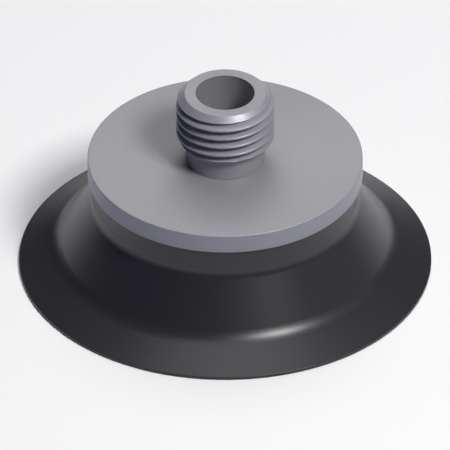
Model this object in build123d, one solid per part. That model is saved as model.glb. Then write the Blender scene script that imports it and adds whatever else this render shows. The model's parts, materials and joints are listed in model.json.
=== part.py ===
from build123d import *
import os
from math import atan2, sin, tan

# Flat vacuum pad: a flared rubber cup bonded under a turned aluminium carrier plate,
# whose hollow threaded nipple holds the pad and leads the vacuum into the cup.
# The origin is the centre of the sealing plane and +Z is the axis, from cup to nipple.

# Driving dimensions of the carrier, millimetres
PLATE_DIAMETER = 36.7
PLATE_THICKNESS = 2.7
NIPPLE_HEIGHT = 10.5        # from the plate to the nipple's end
THREAD_DIAMETER = 13.157    # major diameter of a G1/4 pipe thread
THREAD_CHAMFER = 1.15       # lead-in at the nipple's end, 45 degrees
RELIEF_DEPTH = 1.38         # plain neck where the thread runs out, below the major diameter
RELIEF_LENGTH = 2.47        # straight part of that neck, above the plate
BORE_DIAMETER = 7.8         # vacuum passage
EDGE_BREAK = 0.12           # chamfer on the carrier's other edges

# Driving dimensions of the outside of the cup, millimetres
CUP_DIAMETER = 55.0         # across the sealing lip
CUP_HEIGHT = 14.3           # from the sealing plane to the plate
NECK_SETBACK = 0.65         # rubber neck inside the edge of the plate
NECK_HEIGHT = 3.89          # from the plate down to the shoulder, where the skirt starts
SHOULDER_FILLET = 2.5
LIP_WIDTH = 5.13            # from the lip's root, where the skirt ends, out to its edge
LIP_ROOT_HEIGHT = 3.145
LIP_ROOT_FILLET = 4.0
LIP_EDGE_THICKNESS = 0.45

# Driving dimensions of the inside of the cup, millimetres
SEALING_LAND = 0.4          # flat ring of the lip that meets the workpiece
LIP_HOLLOW = 1.95           # height of the lip's underside at its root
SKIRT_WALL = 2.6
CEILING_THICKNESS = 4.8
CEILING_FILLET = 2.5
SHUT_OFF_LAND = 0.8         # ring of bare plate round the bore, where the mould's core pin closed

# Driving dimensions of the cleats under the ceiling, millimetres
CLEAT_COUNT = 8
CLEAT_WIDTH = 2.0
CLEAT_HEIGHT = 1.5
CLEAT_CORNER = 0.6          # chamfer of the upright corners, at each end
CLEAT_EDGE = 0.4            # chamfer round the free face
CLEAT_MARGIN = 1.8          # from the suction hole, and from the edge of the ceiling

# Radii and heights that both pieces share
BORE_RADIUS = BORE_DIAMETER / 2
PLATE_RADIUS = PLATE_DIAMETER / 2
PLATE_TOP = CUP_HEIGHT + PLATE_THICKNESS


def turned(*corners):
    """Solid of revolution about Z. Each corner of its section is (radius, height, rounding)."""
    points = [(radius, height) for radius, height, _ in corners]
    roundings = [rounding for _, _, rounding in corners]
    outline = FilletPolyline(*points, radius=roundings, close=True)
    return revolve(Plane.XZ * make_face(outline), Axis.Z)


def threaded_carrier():
    """Plate and hollow nipple, turned from one bar. The thread is at its major diameter."""
    thread_radius = THREAD_DIAMETER / 2
    relief_radius = thread_radius - RELIEF_DEPTH
    relief_end = PLATE_TOP + RELIEF_LENGTH
    nipple_end = PLATE_TOP + NIPPLE_HEIGHT
    return turned(
        (BORE_RADIUS + EDGE_BREAK, CUP_HEIGHT, 0),
        (PLATE_RADIUS - EDGE_BREAK, CUP_HEIGHT, 0),
        (PLATE_RADIUS, CUP_HEIGHT + EDGE_BREAK, 0),
        (PLATE_RADIUS, PLATE_TOP - EDGE_BREAK, 0),
        (PLATE_RADIUS - EDGE_BREAK, PLATE_TOP, 0),
        (relief_radius, PLATE_TOP, 0),
        (relief_radius, relief_end, 0),
        (thread_radius, relief_end + RELIEF_DEPTH, 0),
        (thread_radius, nipple_end - THREAD_CHAMFER, 0),
        (thread_radius - THREAD_CHAMFER, nipple_end, 0),
        (BORE_RADIUS + EDGE_BREAK, nipple_end, 0),
        (BORE_RADIUS, nipple_end - EDGE_BREAK, 0),
        (BORE_RADIUS, CUP_HEIGHT + EDGE_BREAK, 0),
    )


def cleats(ceiling_height, hole_radius, ceiling_radius):
    """Ring of low radial bars under the ceiling, which hold a thin sheet off the suction hole."""
    inner_end = hole_radius + CLEAT_MARGIN
    outer_end = ceiling_radius - CLEAT_MARGIN
    bar = extrude(
        Rectangle(outer_end - inner_end, CLEAT_WIDTH),
        CLEAT_HEIGHT + CEILING_THICKNESS / 2,
    )
    bar = chamfer(bar.edges().filter_by(Axis.Z), CLEAT_CORNER)
    bar = chamfer(bar.faces().sort_by(Axis.Z).first.edges(), CLEAT_EDGE)
    ring = PolarLocations((inner_end + outer_end) / 2, CLEAT_COUNT)
    return Pos(Z=ceiling_height - CLEAT_HEIGHT) * ring * bar


def suction_cup():
    """Moulded rubber cup, with its lip, skirt, neck, suction hole and cleats."""
    cup_radius = CUP_DIAMETER / 2
    lip_root_radius = cup_radius - LIP_WIDTH
    neck_radius = PLATE_RADIUS - NECK_SETBACK
    shoulder_height = CUP_HEIGHT - NECK_HEIGHT
    ceiling_height = CUP_HEIGHT - CEILING_THICKNESS
    hole_radius = BORE_RADIUS + SHUT_OFF_LAND

    # The inside of the skirt is parallel to its outside
    skirt_angle = atan2(shoulder_height - LIP_ROOT_HEIGHT, lip_root_radius - neck_radius)

    def inside_radius(height):
        outside_radius = lip_root_radius - (height - LIP_ROOT_HEIGHT) / tan(skirt_angle)
        return outside_radius - SKIRT_WALL / sin(skirt_angle)

    ceiling_radius = inside_radius(ceiling_height)
    body = turned(
        (hole_radius, ceiling_height, 0),
        (ceiling_radius, ceiling_height, CEILING_FILLET),
        (inside_radius(LIP_HOLLOW), LIP_HOLLOW, 0),
        (cup_radius - SEALING_LAND, 0, 0),
        (cup_radius, 0, 0),
        (cup_radius, LIP_EDGE_THICKNESS, 0),
        (lip_root_radius, LIP_ROOT_HEIGHT, LIP_ROOT_FILLET),
        (neck_radius, shoulder_height, SHOULDER_FILLET),
        (neck_radius, CUP_HEIGHT, 0),
        (hole_radius, CUP_HEIGHT, 0),
    )
    return body + cleats(ceiling_height, hole_radius, ceiling_radius)


os.makedirs("parts", exist_ok=True)
export_step(threaded_carrier(), "parts/threaded_carrier.step")
export_step(suction_cup(), "parts/suction_cup.step")
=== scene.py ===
"""Looks of a flat vacuum pad: an anodised aluminium carrier with its pipe thread, and a moulded rubber cup.

The pad's lengths are millimetres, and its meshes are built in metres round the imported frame. The lengths of
the lamps and the studio are metres, apart from the two that frame the picture.
"""

from __future__ import annotations

import json
import logging
import math
from collections.abc import Callable
from dataclasses import dataclass, field
from enum import Enum

import bmesh
import bpy
from mathutils import Matrix, Vector

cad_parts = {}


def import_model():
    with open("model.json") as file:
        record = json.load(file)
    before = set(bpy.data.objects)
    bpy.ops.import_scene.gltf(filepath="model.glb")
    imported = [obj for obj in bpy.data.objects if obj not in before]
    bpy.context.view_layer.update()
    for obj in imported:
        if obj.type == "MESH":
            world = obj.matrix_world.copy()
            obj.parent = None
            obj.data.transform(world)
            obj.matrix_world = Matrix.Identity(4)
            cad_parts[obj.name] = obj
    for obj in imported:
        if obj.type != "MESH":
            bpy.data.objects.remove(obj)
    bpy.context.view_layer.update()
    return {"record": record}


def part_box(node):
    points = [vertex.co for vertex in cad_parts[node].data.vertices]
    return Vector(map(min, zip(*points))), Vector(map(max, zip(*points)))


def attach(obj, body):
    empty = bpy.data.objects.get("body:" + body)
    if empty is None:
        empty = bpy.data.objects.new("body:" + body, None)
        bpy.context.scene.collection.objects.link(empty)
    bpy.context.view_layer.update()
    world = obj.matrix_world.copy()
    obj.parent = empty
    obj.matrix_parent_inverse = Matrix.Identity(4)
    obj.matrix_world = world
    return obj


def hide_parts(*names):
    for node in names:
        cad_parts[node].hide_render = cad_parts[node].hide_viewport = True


log = logging.getLogger("flat_vacuum_pad")

MM = 0.001  # metres in a millimetre
INCH = 25.4  # millimetres in an inch
TURN_STEPS = 360  # faces round a turned or moulded surface
SHARP_ANGLE = math.radians(35)  # an edge that turns more than this keeps a crisp shade
FLAT_END = 0.999  # a face belongs to a flat end where its normal rises or falls by more than this
NOISE_LOW, NOISE_HIGH = 0.3, 0.7  # nearly all of a noise pattern's values lie between these
CHANNEL_TOP = 255  # the most that two hexadecimal digits hold
SRGB_TOE, SRGB_TOE_SLOPE = 0.04045, 12.92  # end and slope of the sRGB curve's straight start
SRGB_OFFSET, SRGB_POWER = 0.055, 2.4  # the curve above it
BODY = "root"  # the one body of a part without joints
CARRIER_NODE = "threaded_carrier"
CUP_NODE = "suction_cup"


class ToolLay(Enum):
    """Which way the lathe tool went over a surface, and so how its marks lie."""

    TURNED = "turned"  # rings one above the other, round a side
    FACED = "faced"  # rings one inside the other, on a flat end


@dataclass(frozen=True)
class Corner:
    """A corner of a section: its distance from the axis, its height and its rounding."""

    radius: float
    height: float
    rounding: float = 0.0
    next_step: float = 0.9  # most that the mesh's points lie apart on the run to the next corner


@dataclass(frozen=True)
class Section:
    """The closed outline that a round piece sweeps about its axis."""

    corners: tuple[Corner, ...]
    arc_step: float = 0.14  # radians between points on a rounding
    fewest_arc_steps: int = 3
    guard: float = 0.04  # a straight run starts and ends with a point this far in
    shortest_run: float = 0.12  # a shorter one has no points of its own

    def arc(self, index: int) -> list[Vector]:
        """Points of the rounding at one corner, or the corner itself.

        Args:
            index: place of the corner in the section.

        Returns:
            The points in order, from the run before the corner to the run after it.
        """
        here = self.corners[index]
        before = self.corners[index - 1]
        after = self.corners[(index + 1) % len(self.corners)]
        point = Vector((here.radius, here.height))
        if here.rounding == 0.0:
            return [point]
        back = (Vector((before.radius, before.height)) - point).normalized()
        ahead = (Vector((after.radius, after.height)) - point).normalized()
        inside = back.angle(ahead)
        turn = math.pi - inside
        centre = point + (back + ahead).normalized() * (here.rounding / math.sin(inside / 2))
        start = point + back * (here.rounding / math.tan(inside / 2)) - centre
        side = math.copysign(1.0, start.x * ahead.y - start.y * ahead.x)
        steps = max(self.fewest_arc_steps, math.ceil(turn / self.arc_step))
        turns = [Matrix.Rotation(side * turn * step / steps, 2) for step in range(steps + 1)]
        return [centre + rotation @ start for rotation in turns]

    def run(self, start: Vector, end: Vector, longest: float) -> list[Vector]:
        """Points inside a straight run, with one close to each end to keep the shading flat.

        Args:
            start: first end of the run.
            end: last end of the run.
            longest: most that two points may lie apart.

        Returns:
            The points between the ends, in order.
        """
        if (end - start).length < self.shortest_run:
            return []
        way = (end - start).normalized()
        first = start + way * self.guard
        last = end - way * self.guard
        steps = max(1, math.ceil((last - first).length / longest))
        return [first.lerp(last, step / steps) for step in range(steps + 1)]

    def outline(self) -> list[Vector]:
        """The whole outline, as points (radius, height) in order."""
        arcs = [self.arc(index) for index in range(len(self.corners))]
        points: list[Vector] = []
        for index, arc in enumerate(arcs):
            following = arcs[(index + 1) % len(arcs)][0]
            points += arc
            points += self.run(arc[-1], following, self.corners[index].next_step)
        return points


def linear(hex_colour: str) -> tuple[float, float, float, float]:
    """Linear colour of an sRGB hex value.

    Args:
        hex_colour: six hexadecimal digits after a hash sign.

    Returns:
        Red, green, blue and an alpha of one.
    """
    channels = [level / CHANNEL_TOP for level in bytes.fromhex(hex_colour.removeprefix("#"))]
    red, green, blue = (
        c / SRGB_TOE_SLOPE if c <= SRGB_TOE else ((c + SRGB_OFFSET) / (1 + SRGB_OFFSET)) ** SRGB_POWER
        for c in channels
    )
    return red, green, blue, 1.0


def add_node(
    tree: bpy.types.NodeTree,
    kind: str,
    inputs: dict[str | int, object] | None = None,
    **settings: object,
) -> bpy.types.Node:
    """Adds a node with its settings and links.

    Args:
        tree: the node tree that it joins.
        kind: Blender's name for the node's type.
        inputs: for an input's name or place, a plain value or the socket that feeds it.
        settings: the node's own properties.

    Returns:
        The new node.
    """
    node = tree.nodes.new(kind)
    for name, value in settings.items():
        setattr(node, name, value)
    for name, value in (inputs or {}).items():
        if isinstance(value, bpy.types.NodeSocket):
            tree.links.new(value, node.inputs[name])
        else:
            node.inputs[name].default_value = value
    return node


def new_material(name: str) -> tuple[bpy.types.Material, bpy.types.NodeTree]:
    """An empty node material.

    Args:
        name: the material's name.

    Returns:
        The material and its node tree.
    """
    material = bpy.data.materials.new(name)
    material.use_nodes = True
    material.node_tree.nodes.clear()
    return material, material.node_tree


def new_object(name: str, shaped: bmesh.types.BMesh) -> bpy.types.Object:
    """Puts a finished mesh into the scene, with its faces outwards and smooth between crisp edges.

    Args:
        name: the object's name.
        shaped: its mesh, which is freed.

    Returns:
        The new object.
    """
    bmesh.ops.recalc_face_normals(shaped, faces=shaped.faces)
    mesh = bpy.data.meshes.new(name)
    shaped.to_mesh(mesh)
    shaped.free()
    mesh.shade_smooth()
    mesh.set_sharp_from_angle(angle=SHARP_ANGLE)
    new = bpy.data.objects.new(name, mesh)
    bpy.context.scene.collection.objects.link(new)
    return new


def lathe(
    name: str,
    outline: list[Vector],
    radius_at: Callable[[float, float, float], float] | None = None,
) -> bpy.types.Object:
    """A closed mesh swept about the axis.

    Args:
        name: the piece's name.
        outline: points (radius, height) of the closed section, in millimetres.
        radius_at: gives the radius for a point's own radius, its height and its angle.

    Returns:
        The new object.
    """
    shaped = bmesh.new()
    rows = []
    for step in range(TURN_STEPS):
        angle = math.tau * step / TURN_STEPS
        row = []
        for point in outline:
            radius = radius_at(point.x, point.y, angle) if radius_at else point.x
            place = Vector((radius * math.cos(angle), radius * math.sin(angle), point.y))
            row.append(shaped.verts.new(place * MM))
        rows.append(row)
    for here, there in zip(rows, rows[1:] + rows[:1]):
        for place in range(len(outline)):
            shaped.faces.new((here[place - 1], there[place - 1], there[place], here[place]))
    return new_object(name, shaped)


def unite(piece: bpy.types.Object, added: bpy.types.Object) -> None:
    """Makes one closed mesh of two that overlap.

    Args:
        piece: the object that keeps the result.
        added: the object that goes into it, and is then removed.
    """
    union = piece.modifiers.new("union", "BOOLEAN")
    union.operation = "UNION"
    union.solver = "EXACT"
    union.object = added
    whole = piece.evaluated_get(bpy.context.evaluated_depsgraph_get())
    mesh = bpy.data.meshes.new_from_object(whole)
    piece.modifiers.remove(union)
    piece.data = mesh
    mesh.set_sharp_from_angle(angle=SHARP_ANGLE)
    bpy.data.objects.remove(added)


@dataclass(frozen=True)
class AnodisedAluminium:
    """Clear-anodised turned aluminium. Its thin oxide gives the eye a soft grey with faint tool rings."""

    colour: str = "#A6A6A8"
    shade: str = "#98989B"  # the darker tone of rings and drift
    metallic: float = 0.24  # low, as the etched metal under the oxide scatters light like a matt surface
    roughness: float = 0.44
    roughness_spread: float = 0.035  # more and less where the etch is coarser and finer
    anisotropy: float = 0.3  # the tool's rings draw a highlight out across themselves
    film: float = 0.1  # weight of the sealed oxide film's own gloss
    film_roughness: float = 0.2
    ring_pitch: float = 0.35  # a fine cut feeds 0.1 mm a turn, drawn coarser so that it shows
    ring_height: float = 0.003
    ring_detail: float = 3.0
    ring_share: float = 0.5  # of the rings in the tone, the rest is the bath's drift
    grain: float = 0.6  # etch grain under the oxide, drawn coarser than its 0.05 mm
    grain_detail: float = 4.0
    cloud: float = 11.0  # slow drift of the bath's tone over the surface
    cloud_detail: float = 2.0

    def material(self, lay: ToolLay) -> bpy.types.Material:
        """The finish with its tool rings.

        Args:
            lay: the way the tool's marks lie.

        Returns:
            The finished material.
        """
        material, tree = new_material(f"clear_anodised_aluminium_{lay.value}")
        place = add_node(tree, "ShaderNodeTexCoord").outputs["Object"]
        in_mm = add_node(
            tree, "ShaderNodeVectorMath", {0: place, "Scale": 1 / MM}, operation="SCALE"
        ).outputs["Vector"]
        parts = add_node(tree, "ShaderNodeSeparateXYZ", {0: in_mm}).outputs
        along = parts["Z"]
        if lay is ToolLay.FACED:
            flat = add_node(
                tree, "ShaderNodeCombineXYZ", {"X": parts["X"], "Y": parts["Y"]}
            ).outputs["Vector"]
            along = add_node(tree, "ShaderNodeVectorMath", {0: flat}, operation="LENGTH").outputs["Value"]
        rings = add_node(
            tree,
            "ShaderNodeTexNoise",
            {"W": along, "Scale": 1 / self.ring_pitch, "Detail": self.ring_detail},
            noise_dimensions="1D",
        ).outputs["Fac"]
        etch = add_node(
            tree,
            "ShaderNodeTexNoise",
            {"Vector": in_mm, "Scale": 1 / self.grain, "Detail": self.grain_detail},
        ).outputs["Fac"]
        drift = add_node(
            tree,
            "ShaderNodeTexNoise",
            {"Vector": in_mm, "Scale": 1 / self.cloud, "Detail": self.cloud_detail},
        ).outputs["Fac"]
        tone = add_node(
            tree, "ShaderNodeMix", {"Factor": self.ring_share, "A": drift, "B": rings}, data_type="FLOAT"
        ).outputs["Result"]
        colour = add_node(
            tree,
            "ShaderNodeMix",
            {"Factor": tone, "A": linear(self.colour), "B": linear(self.shade)},
            data_type="RGBA",
        ).outputs["Result"]
        rough = add_node(
            tree,
            "ShaderNodeMapRange",
            {
                "Value": etch,
                "From Min": NOISE_LOW,
                "From Max": NOISE_HIGH,
                "To Min": self.roughness - self.roughness_spread,
                "To Max": self.roughness + self.roughness_spread,
            },
        ).outputs["Result"]
        relief = add_node(
            tree, "ShaderNodeBump", {"Height": rings, "Distance": self.ring_height * MM}
        ).outputs["Normal"]
        tangent = add_node(tree, "ShaderNodeTangent", direction_type="RADIAL", axis="Z").outputs["Tangent"]
        shader = add_node(
            tree,
            "ShaderNodeBsdfPrincipled",
            {
                "Base Color": colour,
                "Metallic": self.metallic,
                "Roughness": rough,
                "Anisotropic": self.anisotropy,
                "Coat Weight": self.film,
                "Coat Roughness": self.film_roughness,
                "Normal": relief,
                "Tangent": tangent,
            },
        ).outputs["BSDF"]
        add_node(tree, "ShaderNodeOutputMaterial", {"Surface": shader})
        return material


@dataclass(frozen=True)
class NitrileRubber:
    """Moulded nitrile rubber. Carbon black makes it near black, and the smooth mould leaves it satin."""

    colour: str = "#28282A"
    bloom: str = "#2E2E31"  # where a little wax has come to the surface and greys it
    roughness: float = 0.34
    roughness_spread: float = 0.02  # more and less over the grain
    specular: float = 0.55
    grain: float = 0.25  # spark-eroded mould, drawn coarser than its 0.03 mm
    grain_height: float = 0.0008
    grain_detail: float = 2.0
    cloud: float = 8.0  # patches of bloom
    cloud_detail: float = 3.0

    def material(self) -> bpy.types.Material:
        """The finish with its faint bloom and grain."""
        material, tree = new_material("moulded_nitrile_rubber")
        place = add_node(tree, "ShaderNodeTexCoord").outputs["Object"]
        in_mm = add_node(
            tree, "ShaderNodeVectorMath", {0: place, "Scale": 1 / MM}, operation="SCALE"
        ).outputs["Vector"]
        grain = add_node(
            tree,
            "ShaderNodeTexNoise",
            {"Vector": in_mm, "Scale": 1 / self.grain, "Detail": self.grain_detail},
        ).outputs["Fac"]
        patches = add_node(
            tree,
            "ShaderNodeTexNoise",
            {"Vector": in_mm, "Scale": 1 / self.cloud, "Detail": self.cloud_detail},
        ).outputs["Fac"]
        colour = add_node(
            tree,
            "ShaderNodeMix",
            {"Factor": patches, "A": linear(self.colour), "B": linear(self.bloom)},
            data_type="RGBA",
        ).outputs["Result"]
        rough = add_node(
            tree,
            "ShaderNodeMapRange",
            {
                "Value": grain,
                "From Min": NOISE_LOW,
                "From Max": NOISE_HIGH,
                "To Min": self.roughness - self.roughness_spread,
                "To Max": self.roughness + self.roughness_spread,
            },
        ).outputs["Result"]
        relief = add_node(
            tree, "ShaderNodeBump", {"Height": grain, "Distance": self.grain_height * MM}
        ).outputs["Normal"]
        shader = add_node(
            tree,
            "ShaderNodeBsdfPrincipled",
            {
                "Base Color": colour,
                "Roughness": rough,
                "Specular IOR Level": self.specular,
                "Normal": relief,
            },
        ).outputs["BSDF"]
        add_node(tree, "ShaderNodeOutputMaterial", {"Surface": shader})
        return material


@dataclass
class PipeThread:
    """Right-hand parallel pipe thread, its flanks 55 degrees apart, with rounded crests and roots."""

    major_radius: float
    turns_per_inch: int = 19
    depth_share: float = 0.640327  # of the pitch, from crest to root
    rounding_share: float = 0.137329  # of the pitch, on crests and roots
    half_angle: float = math.radians(27.5)

    def __post_init__(self) -> None:
        """Works out the sizes that the pitch gives."""
        self.pitch = INCH / self.turns_per_inch
        self.depth = self.depth_share * self.pitch
        self.rounding = self.rounding_share * self.pitch

    def radius(self, height: float, angle: float) -> float:
        """Distance from the axis to the thread's surface.

        Args:
            height: height on the axis.
            angle: angle about the axis, in radians.

        Returns:
            The radius, from the root to the crest.
        """
        turns = height / self.pitch - angle / math.tau
        from_crest = abs(turns % 1 - 1 / 2) * self.pitch
        from_root = self.pitch / 2 - from_crest
        round_width = self.rounding * math.cos(self.half_angle)
        if from_crest < round_width:
            drop = self.rounding - math.sqrt(self.rounding**2 - from_crest**2)
        elif from_root < round_width:
            drop = self.depth - self.rounding + math.sqrt(self.rounding**2 - from_root**2)
        else:
            round_drop = self.rounding * (1 - math.sin(self.half_angle))
            drop = round_drop + (from_crest - round_width) / math.tan(self.half_angle)
        return self.major_radius - drop


@dataclass(frozen=True)
class TurnedCarrier:
    """Plate and threaded nipple, turned from one bar."""

    bottom: float
    plate_radius: float
    plate_top: float
    nipple_end: float
    thread: PipeThread
    bore_radius: float
    relief_depth: float = 1.38  # of the neck where the thread runs out, below the thread's crests
    relief_length: float = 2.47  # straight part of that neck, above the plate
    lead_in: float = 1.15  # chamfer at the nipple's end
    edge: float = 0.12  # rounding of the outer edges
    bore_edge: float = 0.05  # rounding where the bore opens at the nipple's end
    neck_rounding: float = 0.05  # in both corners of the neck
    thread_step: float = 0.076  # between the mesh's points on the threaded stretch

    def section(self) -> Section:
        """The carrier's section, from the underside of the bore outwards and up."""
        crest = self.thread.major_radius
        relief = crest - self.relief_depth
        relief_end = self.plate_top + self.relief_length
        return Section(
            (
                Corner(self.bore_radius, self.bottom, self.edge),
                Corner(self.plate_radius, self.bottom, self.edge),
                Corner(self.plate_radius, self.plate_top, self.edge),
                Corner(relief, self.plate_top, self.neck_rounding),
                Corner(relief, relief_end, self.neck_rounding, self.thread_step),
                Corner(crest, relief_end + self.relief_depth, self.edge, self.thread_step),
                Corner(crest, self.nipple_end - self.lead_in, self.edge, self.thread_step),
                Corner(crest - self.lead_in, self.nipple_end, self.edge),
                Corner(self.bore_radius, self.nipple_end, self.bore_edge),
            )
        )

    def threaded_radius(self, radius: float, height: float, angle: float) -> float:
        """Cuts the thread into the outside of the nipple.

        Args:
            radius: the turned surface's radius.
            height: height on the axis.
            angle: angle about the axis, in radians.

        Returns:
            The smaller of the turned radius and the thread's, or the turned radius away from the thread.
        """
        inside = radius < self.thread.major_radius - self.relief_depth
        if inside or height < self.plate_top + self.relief_length:
            return radius
        return min(radius, self.thread.radius(height, angle))

    def build(self) -> bpy.types.Object:
        """The carrier's mesh, with its thread cut into the nipple."""
        return lathe("carrier_with_thread", self.section().outline(), self.threaded_radius)

    def dress(self, piece: bpy.types.Object, finish: AnodisedAluminium) -> None:
        """Gives the flat ends faced rings and the rest turned rings.

        Args:
            piece: the carrier's object.
            finish: its finish.
        """
        lays = list(ToolLay)
        for lay in lays:
            piece.data.materials.append(finish.material(lay))
        turned, faced = lays.index(ToolLay.TURNED), lays.index(ToolLay.FACED)
        for face in piece.data.polygons:
            face.material_index = faced if abs(face.normal.z) > FLAT_END else turned


@dataclass(frozen=True)
class Cleats:
    """Ring of low radial bars under the ceiling, which hold a thin sheet off the suction hole."""

    count: int = 8
    width: float = 2.0
    height: float = 1.5
    corner: float = 0.6  # rounding of the upright corners, at each end
    edge: float = 0.4  # rounding round the free face
    margin: float = 1.8  # from the suction hole, and from the edge of the ceiling
    sunk: float = 1.0  # how far the bars reach up into the ceiling
    arc_steps: int = 5  # in each rounding

    def ring(self, inner: float, outer: float, inset: float, height: float) -> list[Vector]:
        """One level of a bar's outline.

        Args:
            inner: radius where the bar starts.
            outer: radius where it ends.
            inset: how far this level lies inside the bar's side.
            height: its height.

        Returns:
            The points of the level, in millimetres, on the bar that lies along X.
        """
        side = self.width / 2 - self.corner
        near, far = inner + self.corner, outer - self.corner
        points = []
        for quarter, (x, y) in enumerate(((far, side), (near, side), (near, -side), (far, -side))):
            for step in range(self.arc_steps + 1):
                angle = math.pi / 2 * (quarter + step / self.arc_steps)
                out = Vector((math.cos(angle), math.sin(angle), 0.0)) * (self.corner - inset)
                points.append(Vector((x, y, height)) + out)
        return points

    def build(self, ceiling: float, hole_radius: float, ceiling_radius: float) -> bpy.types.Object:
        """The bars as one object, still apart from the cup.

        Args:
            ceiling: height of the ceiling.
            hole_radius: radius of the suction hole.
            ceiling_radius: radius where the ceiling meets the skirt.

        Returns:
            The new object.
        """
        inner = hole_radius + self.margin
        outer = ceiling_radius - self.margin
        bottom = ceiling - self.height
        levels = [self.ring(inner, outer, 0.0, ceiling + self.sunk)]
        for step in range(self.arc_steps + 1):
            angle = math.pi / 2 * step / self.arc_steps
            inset = self.edge * (1 - math.cos(angle))
            rise = self.edge * (1 - math.sin(angle))
            levels.append(self.ring(inner, outer, inset, bottom + rise))
        shaped = bmesh.new()
        for index in range(self.count):
            turn = Matrix.Rotation(math.tau * index / self.count, 3, "Z")
            rows = [[shaped.verts.new(turn @ point * MM) for point in level] for level in levels]
            for above, below in zip(rows, rows[1:]):
                for place in range(len(above)):
                    shaped.faces.new((above[place - 1], above[place], below[place], below[place - 1]))
            shaped.faces.new(rows[0])
            shaped.faces.new(rows[-1])
        return new_object("cleats", shaped)


@dataclass
class MouldedCup:
    """The rubber cup with its neck, skirt, lip, suction hole and cleats."""

    radius: float
    height: float
    plate_radius: float
    bore_radius: float
    neck_setback: float = 0.65  # inside the edge of the plate
    neck_height: float = 3.89  # from the plate down to the shoulder
    shoulder_fillet: float = 2.5
    lip_width: float = 5.13  # from the skirt's foot out to the edge
    lip_root_height: float = 3.145
    lip_root_fillet: float = 4.0
    lip_edge: float = 0.45  # thickness of the edge
    sealing_land: float = 0.4  # flat ring that meets the workpiece
    lip_hollow: float = 1.95  # height of the lip's underside at its root
    lip_hollow_fillet: float = 1.0
    skirt_wall: float = 2.6
    ceiling_thickness: float = 4.8
    ceiling_fillet: float = 2.5
    shut_off_land: float = 0.8  # ring of bare plate round the bore
    hole_rounding: float = 0.2
    edge: float = 0.08  # rounding of the lip's edge, above and below
    cleats: Cleats = field(default_factory=Cleats)

    def __post_init__(self) -> None:
        """Works out the places that the sizes give."""
        self.neck_radius = self.plate_radius - self.neck_setback
        self.shoulder = self.height - self.neck_height
        self.lip_root_radius = self.radius - self.lip_width
        self.ceiling = self.height - self.ceiling_thickness
        self.hole_radius = self.bore_radius + self.shut_off_land

    def inside_radius(self, height: float) -> float:
        """Radius of the skirt's inside, which is parallel to its outside.

        Args:
            height: height above the sealing plane.

        Returns:
            The radius there.
        """
        slope = math.atan2(self.shoulder - self.lip_root_height, self.lip_root_radius - self.neck_radius)
        outside = self.lip_root_radius - (height - self.lip_root_height) / math.tan(slope)
        return outside - self.skirt_wall / math.sin(slope)

    def section(self) -> Section:
        """The cup's section, from the ceiling's hole down the inside and up the outside."""
        return Section(
            (
                Corner(self.hole_radius, self.ceiling, self.hole_rounding),
                Corner(self.inside_radius(self.ceiling), self.ceiling, self.ceiling_fillet),
                Corner(self.inside_radius(self.lip_hollow), self.lip_hollow, self.lip_hollow_fillet),
                Corner(self.radius - self.sealing_land, 0.0),
                Corner(self.radius, 0.0, self.edge),
                Corner(self.radius, self.lip_edge, self.edge),
                Corner(self.lip_root_radius, self.lip_root_height, self.lip_root_fillet),
                Corner(self.neck_radius, self.shoulder, self.shoulder_fillet),
                Corner(self.neck_radius, self.height),
                Corner(self.hole_radius, self.height),
            )
        )

    def build(self) -> bpy.types.Object:
        """The cup's mesh, with its cleats grown from the ceiling."""
        piece = lathe("moulded_cup", self.section().outline())
        ceiling_radius = self.inside_radius(self.ceiling)
        unite(piece, self.cleats.build(self.ceiling, self.hole_radius, ceiling_radius))
        return piece

    def dress(self, piece: bpy.types.Object, finish: NitrileRubber) -> None:
        """Gives the cup its rubber.

        Args:
            piece: the cup's object.
            finish: its finish.
        """
        piece.data.materials.clear()
        piece.data.materials.append(finish.material())


@dataclass(frozen=True)
class Lamp:
    """A soft square lamp. Its place is given as seen from the object."""

    name: str
    azimuth: float  # degrees from the camera's side, positive to the right
    elevation: float  # degrees above the floor
    distance: float
    size: float  # along a side
    power: float  # watts

    def place(self, aim: Vector) -> None:
        """Adds the lamp, turned to what it lights.

        Args:
            aim: the point that it faces, in metres.
        """
        data = bpy.data.lights.new(self.name, "AREA")
        data.shape = "SQUARE"
        data.size = self.size
        data.energy = self.power
        lamp = bpy.data.objects.new(self.name, data)
        across, up = math.radians(self.azimuth), math.radians(self.elevation)
        away = Vector((math.sin(across) * math.cos(up), -math.cos(across) * math.cos(up), math.sin(up)))
        lamp.location = aim + away * self.distance
        lamp.rotation_euler = (-away).to_track_quat("-Z", "Y").to_euler()
        bpy.context.scene.collection.objects.link(lamp)


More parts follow.
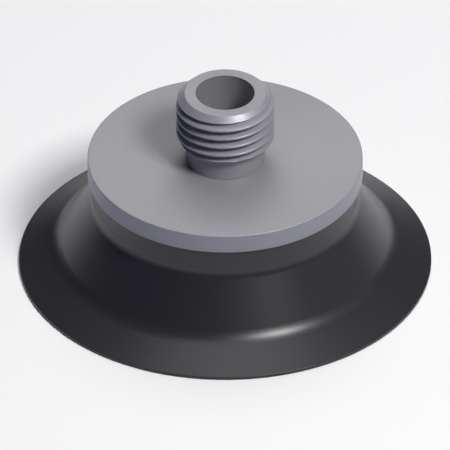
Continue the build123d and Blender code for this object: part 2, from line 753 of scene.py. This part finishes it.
@dataclass(frozen=True)
class Studio:
    """Pale floor, soft lamps and the camera."""

    floor_colour: str = "#FAFAF8"
    floor_bounce: str = "#5A5AA0"  # the light that it throws back, which tints the object's shaded sides
    floor_roughness: float = 0.9
    floor_radius: float = 3.0
    floor_steps: int = 96  # sides of the disc
    lit_radius: float = 0.068  # the lamps alone light the floor up to here, past the picture's corners
    even_radius: float = 0.13  # from here outwards it is evenly pale
    far_floor: str = "#F7F7F8"  # that even level, at which the lamps show the floor near the object
    world_colour: str = "#262640"  # a dim room, as cool as the tint of the shaded sides
    lamps: tuple[Lamp, ...] = (
        Lamp("key_softbox", azimuth=43.0, elevation=51.0, distance=0.8, size=0.22, power=4.65),
        Lamp("side_softbox", azimuth=92.0, elevation=30.0, distance=1.2, size=0.8, power=0.6),
        Lamp("back_softbox", azimuth=180.0, elevation=58.0, distance=1.2, size=0.8, power=4.3),
        Lamp("top_softbox", azimuth=0.0, elevation=90.0, distance=1.0, size=0.6, power=1.75),
    )
    lamp_aim: tuple[float, float, float] = (0.0, 0.0, 0.012)
    camera_elevation: float = 35.264  # degrees, for an isometric view
    camera_distance: float = 0.5
    view_width: float = 60.02  # millimetres
    view_centre: tuple[float, float, float] = (-0.02, 0.0, 5.90)  # millimetres

    def seen(self, tree: bpy.types.NodeTree) -> bpy.types.NodeSocket:
        """Tells the rays that show the background: to the camera, in a gloss or through glass.

        Args:
            tree: the node tree that asks.

        Returns:
            The socket that holds one for such a ray, and nought for any other.
        """
        rays = add_node(tree, "ShaderNodeLightPath").outputs
        direct = add_node(
            tree,
            "ShaderNodeMath",
            {0: rays["Is Camera Ray"], 1: rays["Is Glossy Ray"]},
            operation="MAXIMUM",
        ).outputs["Value"]
        return add_node(
            tree, "ShaderNodeMath", {0: direct, 1: rays["Is Transmission Ray"]}, operation="MAXIMUM"
        ).outputs["Value"]

    def floor_material(self) -> bpy.types.Material:
        """White paint, lit by the lamps near the object and evenly pale further out.

        Returns:
            The finished material.
        """
        material, tree = new_material("matt_white_paint")
        material.cycles.emission_sampling = "NONE"  # the evenly pale part is no lamp
        seen = self.seen(tree)
        paint = add_node(
            tree,
            "ShaderNodeMix",
            {"Factor": seen, "A": linear(self.floor_bounce), "B": linear(self.floor_colour)},
            data_type="RGBA",
        ).outputs["Result"]
        lit = add_node(
            tree, "ShaderNodeBsdfPrincipled", {"Base Color": paint, "Roughness": self.floor_roughness}
        ).outputs["BSDF"]
        even = add_node(tree, "ShaderNodeEmission", {"Color": linear(self.far_floor)}).outputs["Emission"]
        place = add_node(tree, "ShaderNodeTexCoord").outputs["Object"]
        away = add_node(tree, "ShaderNodeVectorMath", {0: place}, operation="LENGTH").outputs["Value"]
        fade = add_node(
            tree,
            "ShaderNodeMapRange",
            {"Value": away, "From Min": self.lit_radius, "From Max": self.even_radius},
            interpolation_type="SMOOTHSTEP",
        ).outputs["Result"]
        share = add_node(tree, "ShaderNodeMath", {0: fade, 1: seen}, operation="MULTIPLY").outputs["Value"]
        surface = add_node(tree, "ShaderNodeMixShader", {0: share, 1: lit, 2: even}).outputs["Shader"]
        add_node(tree, "ShaderNodeOutputMaterial", {"Surface": surface})
        return material

    def build_floor(self) -> None:
        """A round floor under the lip."""
        shaped = bmesh.new()
        bmesh.ops.create_circle(
            shaped, cap_ends=True, segments=self.floor_steps, radius=self.floor_radius
        )
        floor = new_object("studio_floor", shaped)
        floor.data.materials.append(self.floor_material())

    def build_world(self) -> None:
        """Dim surroundings. Below the horizon the pale floor goes on, for views from close to it."""
        world = bpy.data.worlds.new("studio_room")
        bpy.context.scene.world = world
        world.use_nodes = True
        tree = world.node_tree
        tree.nodes.clear()
        heading = add_node(tree, "ShaderNodeTexCoord").outputs["Generated"]
        rise = add_node(tree, "ShaderNodeSeparateXYZ", {0: heading}).outputs["Z"]
        down = add_node(tree, "ShaderNodeMath", {0: rise, 1: 0.0}, operation="LESS_THAN").outputs["Value"]
        pale = add_node(
            tree, "ShaderNodeMath", {0: down, 1: self.seen(tree)}, operation="MULTIPLY"
        ).outputs["Value"]
        colour = add_node(
            tree,
            "ShaderNodeMix",
            {"Factor": pale, "A": linear(self.world_colour), "B": linear(self.far_floor)},
            data_type="RGBA",
        ).outputs["Result"]
        light = add_node(tree, "ShaderNodeBackground", {"Color": colour}).outputs["Background"]
        add_node(tree, "ShaderNodeOutputWorld", {"Surface": light})

    def build_lamps(self) -> None:
        """A small key light in front on the right, and larger ones on the right, behind and above."""
        for lamp in self.lamps:
            lamp.place(Vector(self.lamp_aim))

    def build_camera(self) -> None:
        """A camera without perspective, at the photograph's view."""
        data = bpy.data.cameras.new("camera")
        data.type = "ORTHO"
        data.ortho_scale = self.view_width * MM
        camera = bpy.data.objects.new("camera", data)
        up = math.radians(self.camera_elevation)
        away = Vector((0.0, -math.cos(up), math.sin(up)))
        camera.location = Vector(self.view_centre) * MM + away * self.camera_distance
        camera.rotation_euler = (-away).to_track_quat("-Z", "Y").to_euler()
        bpy.context.scene.collection.objects.link(camera)
        bpy.context.scene.camera = camera

    def build(self) -> None:
        """The whole studio."""
        self.build_floor()
        self.build_world()
        self.build_lamps()
        self.build_camera()
        bpy.context.scene.view_settings.view_transform = "Standard"


def settle(piece: bpy.types.Object, node: str) -> None:
    """Puts a finished piece in its node's place in the frame and reports it.

    Args:
        piece: the finished piece.
        node: the node that it stands for.
    """
    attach(piece, BODY)
    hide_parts(node)
    log.info("%s stands for %s with %d faces", piece.name, node, len(piece.data.polygons))


def main() -> None:
    """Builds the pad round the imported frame, and the studio round the pad."""
    logging.basicConfig(level=logging.INFO, format="%(message)s")
    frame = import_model()
    mounts = {mount["name"]: mount for mount in frame["record"]["mounts"]}
    carrier_low, carrier_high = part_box(CARRIER_NODE)
    _, cup_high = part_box(CUP_NODE)
    *_, plate_top = mounts["plate_top"]["pos_m"]
    bore_radius = mounts["vacuum_bore"]["dims"]["r_mm"]

    carrier = TurnedCarrier(
        bottom=carrier_low.z / MM,
        plate_radius=carrier_high.x / MM,
        plate_top=plate_top / MM,
        nipple_end=carrier_high.z / MM,
        thread=PipeThread(mounts["male_thread"]["dims"]["r_mm"]),
        bore_radius=bore_radius,
    )
    piece = carrier.build()
    carrier.dress(piece, AnodisedAluminium())
    settle(piece, CARRIER_NODE)

    cup = MouldedCup(
        radius=cup_high.x / MM,
        height=cup_high.z / MM,
        plate_radius=carrier_high.x / MM,
        bore_radius=bore_radius,
    )
    piece = cup.build()
    cup.dress(piece, NitrileRubber())
    settle(piece, CUP_NODE)

    Studio().build()


if __name__ == "__main__":
    main()
